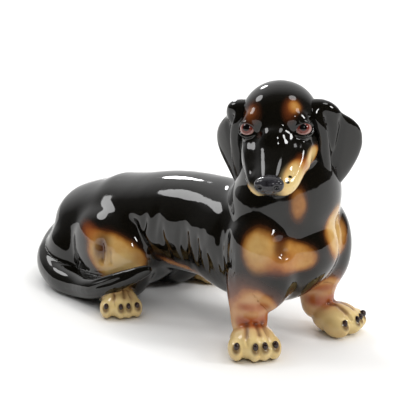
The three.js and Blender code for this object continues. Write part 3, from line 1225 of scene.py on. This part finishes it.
@dataclass
class Leg:
    """A leg with its paw. The shaft's stations are in the maker's frame.

    Toes and grooves are given by how far they lie across the paw, and the claws are set in by `inset`.
    """

    name: str
    shaft: Roll
    paw_at: Vec3
    heading: float
    size: float
    pad: Lump = Lump((0, 0, 0), (24, 20, 15))
    toes_across: tuple[float, ...] = (-16, -1, 7, 16)
    grooves_across: tuple[float, ...] = (-8, 3, 11.5)
    inset: float = 1.4
    claw_half: Vec3 = (3.3, 2.5, 4.0)

    @property
    def paw_place(self) -> Matrix:
        """Takes the paw's own frame, which looks along +X, to the maker's frame."""
        turn = Matrix.Rotation(math.radians(self.heading), 4, "Z")
        return Matrix.Translation(Vector(self.paw_at)) @ turn @ Matrix.Scale(self.size, 4)

    def toe_at(self, across: float) -> Vec3:
        """The middle of one toe in the paw's frame."""
        return (13 - 0.25 * abs(across), across, -3)

    def raw(self) -> bmesh.types.BMesh:
        """Presses the shaft, the pad and the toes together.

        Returns:
            A new bmesh that the caller frees.
        """
        bm = raw_clay([self.shaft])
        for form in (self.pad, *(Lump(self.toe_at(across), (14, 7, 10)) for across in self.toes_across)):
            form.press_onto(bm, self.paw_place)
        bmesh.ops.recalc_face_normals(bm, faces=bm.faces)
        return bm

    def placed(self) -> Placed:
        """Sets out the work on the paw.

        Returns:
            The grooves between the toes and the stains, in the paw's frame.
        """
        marks = []
        hind = "hind" in self.name
        sock = Spray(Stain.TAN, (10, 0, 0), (27, 27, 24), soft=0.12)
        if not hind:
            sock = Spray(Stain.TAN, (6, 0, 0), (34, 30, 26))
        stains: list[Spray | Brushed] = [
            sock,
            Spray(Stain.CREAM, (10, 0, -2), (25, 27, 18), amount=0.95, soft=0.35),
        ]
        for y in self.grooves_across:
            top, front = (2, y * 0.7, 15), (15, y, 10)
            marks.append(ToolMark((top, front, (24, y, 2), (26, y, -9)), 1.6, 1.8, fade=0.2))
            marks.append(ToolMark(((-8, y * 0.7, 14), top), 2.2, 1.4))
            stains.append(Brushed(Stain.UMBER, ((-6, y * 0.7, 14), top), 2.4, amount=0.55, soft=0.9))
            stains.append(Brushed(Stain.RUST, (top, front), 3.4, amount=0.35, soft=0.9))
            stains.append(Brushed(Stain.UMBER, (top, front), 1.8, amount=0.6, soft=0.9))
        for y in self.toes_across:
            claw = (25 - 0.25 * abs(y), y * 1.08, 2)
            stains.append(Spray(Stain.UMBER, claw, (4.6, 3.9, 5.4), amount=0.75, soft=0.35))
            marks.append(ToolMark((claw, (claw[0], claw[1], 1)), 3.6, 0.6, fade=0))
        return Placed(self.paw_place.inverted(), tuple(marks), tuple(stains))

    def shaft_stains(self) -> tuple[Spray | Brushed, ...]:
        """Sets out the stains on the shaft.

        Returns:
            Pinkish tan, with rust in the creases of the wrist. A hind shaft has none.
        """
        if "hind" in self.name:
            return ()
        x, y, z = self.shaft.stations[2][:3]
        side = Side.RIGHT.value if y < 0 else Side.LEFT.value
        wrist = [(x + 4, y - 18, z), (x + 17, y - 8, z - 1), (x + 16, y + 8, z)]
        above = [(px - 1, py + 1, pz + 13) for px, py, pz in wrist]
        return (
            Spray(Stain.TAN, (x + 2, y - 2 * side, z), (25, 20, 40), soft=0.2, amount=0.95),
            Spray(Stain.ROSE, (x + 2, y, z + 8), (24, 24, 26), amount=0.42, soft=0.6),
            Brushed(Stain.RUST, tuple(wrist), 5.5, amount=0.95, soft=0.7),
            Brushed(Stain.RUST, tuple(above), 3.6, amount=0.85, soft=0.8),
        )

    def claw(self, index: int, shift: Vector, material: bpy.types.Material) -> bpy.types.Object:
        """Models one claw as a short hooked horn where the CAD claw is.

        Args:
            index: Which claw, from 1.
            shift: Where the maker's origin lies in the part's frame.
            material: Its finish.

        Returns:
            The claw.
        """
        paw = self.name.replace("leg", "paw")
        low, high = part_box(f"{paw}_claw_{index}")
        outward = math.radians(self.heading + 1.8 * self.toes_across[index - 1])
        ahead = Vector((math.cos(outward), math.sin(outward), 0))
        middle = (low + high) / (2 * MM) - shift - self.inset * ahead
        own = Matrix.Translation(middle) @ Matrix.Rotation(outward, 4, "Z") @ Matrix.Rotation(0.45, 4, "Y")
        bm = bmesh.new()
        bmesh.ops.create_uvsphere(bm, u_segments=24, v_segments=16, radius=1.0)
        for vert in bm.verts:
            down = max(0.0, -vert.co.z)
            long, wide, tall = self.claw_half
            slim = wide * (1.0 - 0.35 * down)
            vert.co = Vector((vert.co.x * long + 0.8 * down**2, vert.co.y * slim, vert.co.z * tall))
        bmesh.ops.transform(bm, matrix=own @ Matrix.Scale(self.size, 4), verts=bm.verts)
        mesh = bpy.data.meshes.new(f"{paw}_claw_{index}")
        bm.to_mesh(mesh)
        bm.free()
        return finish_piece(f"{paw}_claw_{index}_painted", mesh, shift, material)


@dataclass
class Tail:
    """The tail, which curls from the rump round the right haunch."""

    form: Roll = Roll(
        (
            (-150, 18, 52, 26, 26),
            (-172, -8, 38, 24, 23),
            (-165, -38, 22, 20, 19),
            (-137, -56, 14, 14.5, 14.5),
            (-103, -61, 14, 12.5, 12.5),
            (-70, -69, 21, 10, 10),
            (-42, -68, 34, 9.5, 8),
            (-12, -54, 50, 9, 6),
        ),
        side=(0, 0, 1),
        blunt=3.5,
        rings=110,
    )

    def marks(self) -> tuple[ToolMark, ...]:
        """Sets out the grooves that part the hair of the tail's tip.

        Returns:
            The grooves.
        """
        grooves = []
        for rise in (-4, 2, 7):
            path = ((-74, -78, 24 + rise), (-44, -76, 38 + rise), (-18, -63, 51 + rise * 0.6))
            grooves.append(ToolMark(path, 1.8, 1.5, fade=0.3))
        return tuple(grooves)


@dataclass
class Figure:
    """The whole figure: every casting fused into one skin, which is then parted along the castings."""

    head: Head
    torso: Torso
    legs: list[Leg]
    tail: Tail
    voxel: float = 1.4
    wipes: int = 110
    body_wipe: float = 0.5
    face_wipe: float = 0.17
    tail_wipe: float = 0.03
    paw_wipe: float = 0.012
    tail_reach: float = 20.0
    paw_reach: float = 33.0
    skin: Skin | None = None
    names: list[str] = field(default_factory=list)
    gaps: np.ndarray = field(default_factory=lambda: np.empty((0, 0)))

    def castings(self) -> dict[str, bmesh.types.BMesh]:
        """Makes the loose forms of each casting.

        Returns:
            The forms by the name of the CAD node.
        """
        made = {
            "body_casting": raw_clay(self.torso.forms()),
            "head_casting": raw_clay(self.head.forms(), self.head.place),
            "tail": raw_clay([self.tail.form]),
        }
        for leg in self.legs:
            made[leg.name] = leg.raw()
        return made

    def near_head(self, points: np.ndarray) -> np.ndarray:
        """Says which points are on the face, where the finest work is.

        Args:
            points: Points in the maker's frame.

        Returns:
            Whether each point is.
        """
        matrix = np.array(self.head.place.inverted())
        local = points @ matrix[:3, :3].T + matrix[:3, 3]
        return (local[:, 2] > -30) & (local[:, 0] > -12)

    def near_tail(self, points: np.ndarray) -> np.ndarray:
        """Says which points are by the free length of the tail."""
        path = [station[:3] for station in self.tail.form.stations[2:]]
        return path_distance(points, path)[0] < self.tail_reach

    def near_paws(self, points: np.ndarray) -> np.ndarray:
        """Says which points are on a paw.

        Args:
            points: Points in the maker's frame.

        Returns:
            Whether each point is.
        """
        found = np.zeros(len(points), bool)
        for leg in self.legs:
            found |= np.linalg.norm(points - np.array(leg.paw_at), axis=1) < self.paw_reach
        return found

    def fuse(self) -> dict[str, BVHTree]:
        """Fuses the castings' forms into one smooth skin that stands on the floor.

        Returns:
            The surface of each casting's loose forms, by name.
        """
        whole = bmesh.new()
        surfaces = {}
        for name, forms in self.castings().items():
            surfaces[name] = BVHTree.FromBMesh(forms)
            loose = bpy.data.meshes.new(name)
            forms.to_mesh(loose)
            forms.free()
            whole.from_mesh(loose)
            bpy.data.meshes.remove(loose)
        self.skin = Skin("figure", whole, self.voxel)
        points = self.skin.points()
        wipe = np.full(len(points), self.body_wipe)
        wipe[self.near_tail(points)] = self.tail_wipe
        wipe[self.near_head(points)] = self.face_wipe
        wipe[self.near_paws(points)] = self.paw_wipe
        self.skin.sponge(self.wipes, self.skin.spread(wipe, 8), full=True)
        self.skin.refine(lambda spots: self.near_head(spots) | self.near_paws(spots))
        self.skin.sponge(16, 0.5, full=True)
        self.skin.stand()
        return surfaces

    def placed(self) -> list[Placed]:
        """Gathers all marks and stains of the skin.

        Returns:
            The marks and stains, each group with its frame.
        """
        here = Matrix.Identity(4)
        return [
            Placed(here, (*self.torso.marks(), *self.tail.marks()), self.torso.stains()),
            Placed(self.head.place.inverted(), self.head.marks(), self.head.stains()),
            *(leg.placed() for leg in self.legs),
            *(Placed(here, (), leg.shaft_stains()) for leg in self.legs),
        ]

    def work(self, surfaces: dict[str, BVHTree]) -> None:
        """Tools, opens the eyes of and stains the skin.

        Args:
            surfaces: The surface of each casting's loose forms.
        """
        assert self.skin is not None
        placed = self.placed()
        self.head.cut_eyes(self.skin)
        self.skin.press(placed)
        soft = np.where(self.near_head(self.skin.points()), 0.5, 0.1)
        self.skin.sponge(7, soft)
        self.skin.stand()
        points = self.skin.points()
        self.names = list(surfaces)
        self.gaps = np.empty((len(points), len(surfaces)))
        for column, surface in enumerate(surfaces.values()):
            self.gaps[:, column] = [surface.find_nearest(Vector(point))[3] for point in points]
        self.gaps = self.skin.spread(self.gaps, 12)
        tail = self.names.index("tail")
        others = np.delete(self.gaps, tail, 1).min(1)
        self.skin.stain(placed, smooth_step(self.gaps[:, tail] - others, -2.0, 0.5))

    def owners(self) -> np.ndarray:
        """Finds which casting each face belongs to.

        Returns:
            The number of the casting for each face.
        """
        owner = self.gaps.argmin(1)
        faces = self.skin.mesh.polygons
        first = np.empty(len(faces), np.int32)
        faces.foreach_get("loop_start", first)
        corners = np.empty(len(self.skin.mesh.loops), np.int32)
        self.skin.mesh.loops.foreach_get("vertex_index", corners)
        return owner[corners[first]]

    def part(self, material: bpy.types.Material) -> dict[str, bpy.types.Object]:
        """Parts the skin into one closed piece for each casting, with shading that runs across the seams.

        Args:
            material: The finish of the skin.

        Returns:
            The pieces by the name of the CAD node.
        """
        assert self.skin is not None
        owner = self.owners()
        flow = self.skin.mesh.attributes.new("flow", "FLOAT_VECTOR", "POINT")
        flow.data.foreach_set("vector", self.skin.normals().astype(np.float32).ravel())
        pieces = {}
        for number, name in enumerate(self.names):
            bm = bmesh.new()
            bm.from_mesh(self.skin.mesh)
            bm.faces.ensure_lookup_table()
            drop = [bm.faces[i] for i in np.flatnonzero(owner != number)]
            bmesh.ops.delete(bm, geom=drop, context="FACES")
            rims = [edge for edge in bm.edges if edge.is_boundary]
            bmesh.ops.holes_fill(bm, edges=rims, sides=0)
            caps = {face for edge in rims for face in edge.link_faces if len(face.verts) > 6}
            layer = bm.verts.layers.float_vector["flow"]
            shading = []
            for face in bm.faces:
                flat = face in caps
                shading.extend(face.normal if flat else loop.vert[layer] for loop in face.loops)
            mesh = bpy.data.meshes.new(name)
            bm.to_mesh(mesh)
            bm.free()
            mesh.shade_smooth()
            mesh.normals_split_custom_set([tuple(v) for v in shading])
            pieces[name] = finish_piece(f"{name}_glazed", mesh, self.head.shift, material)
        bpy.data.meshes.remove(self.skin.mesh)
        return pieces


# ---- the studio ----


@dataclass
class Studio:
    """A pale sweep of floor, soft lights and the camera.

    `room` gives how bright the room is by how nearly one looks at the wall, and each lamp is its name,
    bearing, height, spread and strength.
    """

    aim: Vec3 = (0.0023, 0.0255, 0.0865)
    stand_at: Vec3 = (1.018, -0.9967, 0.513)
    lens: float = 139.1
    floor_half: float = 12.0
    wall_towards: Vec3 = (-0.62, 0.62, 0.48)
    room: tuple[tuple[float, float], ...] = ((0.0, 0.03), (0.45, 0.12), (0.85, 1.0))
    lamps: tuple[tuple[str, float, float, float, float], ...] = (
        ("window_softbox", 74, 30, 13, 0.8),
        ("rim_softbox", -160, 31, 9, 0.6),
        ("front_window", 18, 36, 7, 0.3),
        ("side_softbox", -111, 41, 19, 0.5),
        ("high_softbox", 80, 62, 17, 0.35),
    )

    def camera(self) -> None:
        """Sets up the camera, which looks down on the figure from its front right."""
        data = bpy.data.cameras.new("camera")
        data.lens = self.lens
        data.sensor_width = 36.0
        data.clip_end = 60.0
        camera = bpy.data.objects.new("camera", data)
        camera.location = self.stand_at
        camera.rotation_euler = (Vector(self.aim) - Vector(self.stand_at)).to_track_quat("-Z", "Y").to_euler()
        bpy.context.scene.collection.objects.link(camera)
        bpy.context.scene.camera = camera

    def floor(self) -> bpy.types.Object:
        """Lays the matt white floor.

        Returns:
            The floor.
        """
        recipe = Recipe("matt_white_paper_sweep")
        spot = recipe.node("TexCoord").outputs["Object"]
        cloud = recipe.node("TexNoise", None, {"Vector": spot, "Scale": 3.0, "Detail": 2.0}).outputs[0]
        tone = recipe.node("MapRange", None, {0: cloud, 3: 0.0, 4: 1.0}).outputs[0]
        mixed = {0: tone, MIX_A: linear("f2f1ef"), MIX_B: linear("f4f4f3")}
        colour = recipe.node("Mix", MIX_COLOUR, mixed).outputs[MIX_OUT]
        paper = recipe.node("BsdfPrincipled", None, {"Base Color": colour, "Roughness": 0.9})
        bm = bmesh.new()
        bmesh.ops.create_grid(bm, x_segments=1, y_segments=1, size=self.floor_half)
        mesh = bpy.data.meshes.new("floor")
        bm.to_mesh(mesh)
        bm.free()
        mesh.materials.append(recipe.close(paper))
        floor = bpy.data.objects.new("floor", mesh)
        bpy.context.scene.collection.objects.link(floor)
        return floor

    def lamp(
        self, name: str, bearing: float, height: float, spread: float, strength: float, mirrored: bool = True
    ) -> None:
        """Hangs one far, round softbox that lights the whole floor evenly.

        Args:
            name: Name of the light.
            bearing: Degrees round from the camera, to its right as seen from the camera.
            height: Degrees above the floor.
            spread: How wide the softbox looks from the figure, in degrees.
            strength: Its strength.
            mirrored: Whether the gloss mirrors it. Light bounced off the walls has no outline to mirror.
        """
        data = bpy.data.lights.new(name, "SUN")
        data.energy = strength
        data.angle = math.radians(spread)
        round_by = math.radians(-45 + bearing)
        up = math.radians(height)
        towards = Vector((math.cos(round_by) * math.cos(up), math.sin(round_by) * math.cos(up), math.sin(up)))
        lamp = bpy.data.objects.new(name, data)
        lamp.location = towards * 3
        lamp.rotation_euler = towards.to_track_quat("Z", "Y").to_euler()
        lamp.visible_glossy = mirrored
        bpy.context.scene.collection.objects.link(lamp)

    def surroundings(self) -> None:
        """Makes the room: a bright wall behind the figure and a dim room towards the camera."""
        world = bpy.data.worlds.new("studio")
        world.use_nodes = True
        nodes, links = world.node_tree.nodes, world.node_tree.links
        nodes.clear()
        spot = nodes.new("ShaderNodeTexCoord")
        facing = nodes.new("ShaderNodeVectorMath")
        facing.operation = "DOT_PRODUCT"
        facing.inputs[1].default_value = self.wall_towards
        ramp = nodes.new("ShaderNodeValToRGB")
        stops = ramp.color_ramp.elements
        (low, dark), (middle, dim), (high, bright) = self.room
        stops[0].position, stops[0].color = low, (dark, dark, dark, 1.0)
        stops[1].position, stops[1].color = high, (bright, bright, bright, 1.0)
        stops.new(middle).color = (dim, dim, dim, 1.0)
        shade = nodes.new("ShaderNodeBackground")
        out = nodes.new("ShaderNodeOutputWorld")
        links.new(spot.outputs["Generated"], facing.inputs[0])
        links.new(facing.outputs["Value"], ramp.inputs[0])
        links.new(ramp.outputs[0], shade.inputs[0])
        links.new(shade.outputs[0], out.inputs[0])
        bpy.context.scene.world = world

    def build(self) -> None:
        """Builds the studio."""
        bpy.context.scene.view_settings.view_transform = "Standard"
        self.camera()
        self.floor()
        self.surroundings()
        for lamp in self.lamps:
            self.lamp(*lamp)
        self.lamp("bounced_light", 60, 78, 120, 2.1, mirrored=False)


def make_legs() -> list[Leg]:
    """Sets out the four legs.

    Returns:
        The right and left forelegs and hind legs.
    """
    hind = ((-104, -40, 12, 10, 10), (-86, -46, 12, 11, 10), (-64, -56, 11, 13, 10), (-46, -62, 10, 14, 11))
    fore_right = ((88, -34, 84, 22, 24), (92, -38, 54, 19, 20), (97, -42, 30, 16, 17), (102, -46, 10, 16, 17))
    fore_left = ((98, 38, 86, 22, 24), (102, 42, 54, 19, 21), (102, 40, 30, 15, 17), (108, 40, 10, 15, 17))
    hind_left = ((-108, 40, 12, 10, 10), (-94, 47, 12, 11, 10), (-76, 58, 11, 13, 10), (-60, 64, 10, 14, 11))
    return [
        Leg("foreleg_right", Roll(fore_right), (110, -51, 13), -38, 1.0),
        Leg("foreleg_left", Roll(fore_left), (123, 43, 13), 10, 0.95),
        Leg("hindleg_right", Roll(hind), (-46, -62, 11), -38, 0.85),
        Leg("hindleg_left", Roll(hind_left), (-60, 64, 11), 30, 0.85),
    ]


def main() -> None:
    """Builds the figurine and its studio."""
    logging.basicConfig(level=logging.INFO, format="%(name)s: %(message)s")
    glaze = StainedGlaze().make()
    nose_glaze = PlainGlaze("charcoal_stain_under_gloss_glaze", "1b1a1d", "343337").make()
    claw_glaze = PlainGlaze("dark_brown_brushed_stain_under_gloss_glaze", "1c1310", "3a2620").make()
    head = Head()
    head.locate()
    figure = Figure(head, Torso(), make_legs(), Tail())
    figure.work(figure.fuse())
    for node, piece in figure.part(glaze).items():
        register(piece, "tan_glaze" if "leg" in node else "black_glaze", node)
    register(head.nose(nose_glaze), "nose_glaze", "nose_pad")
    for side, flare in ((Side.LEFT, 1.0), (Side.RIGHT, 0.88)):
        register(Ear(side, head, flare).model(glaze), "black_glaze", f"ear_{side.word}")
        register(head.eye(side), "eye_glaze", f"eye_{side.word}")
    for leg in figure.legs:
        paw = leg.name.replace("leg", "paw")
        for index in range(1, len(leg.toes_across) + 1):
            register(leg.claw(index, head.shift, claw_glaze), "claw_glaze", f"{paw}_claw_{index}")
    Studio().build()


if __name__ == "__main__":
    main()
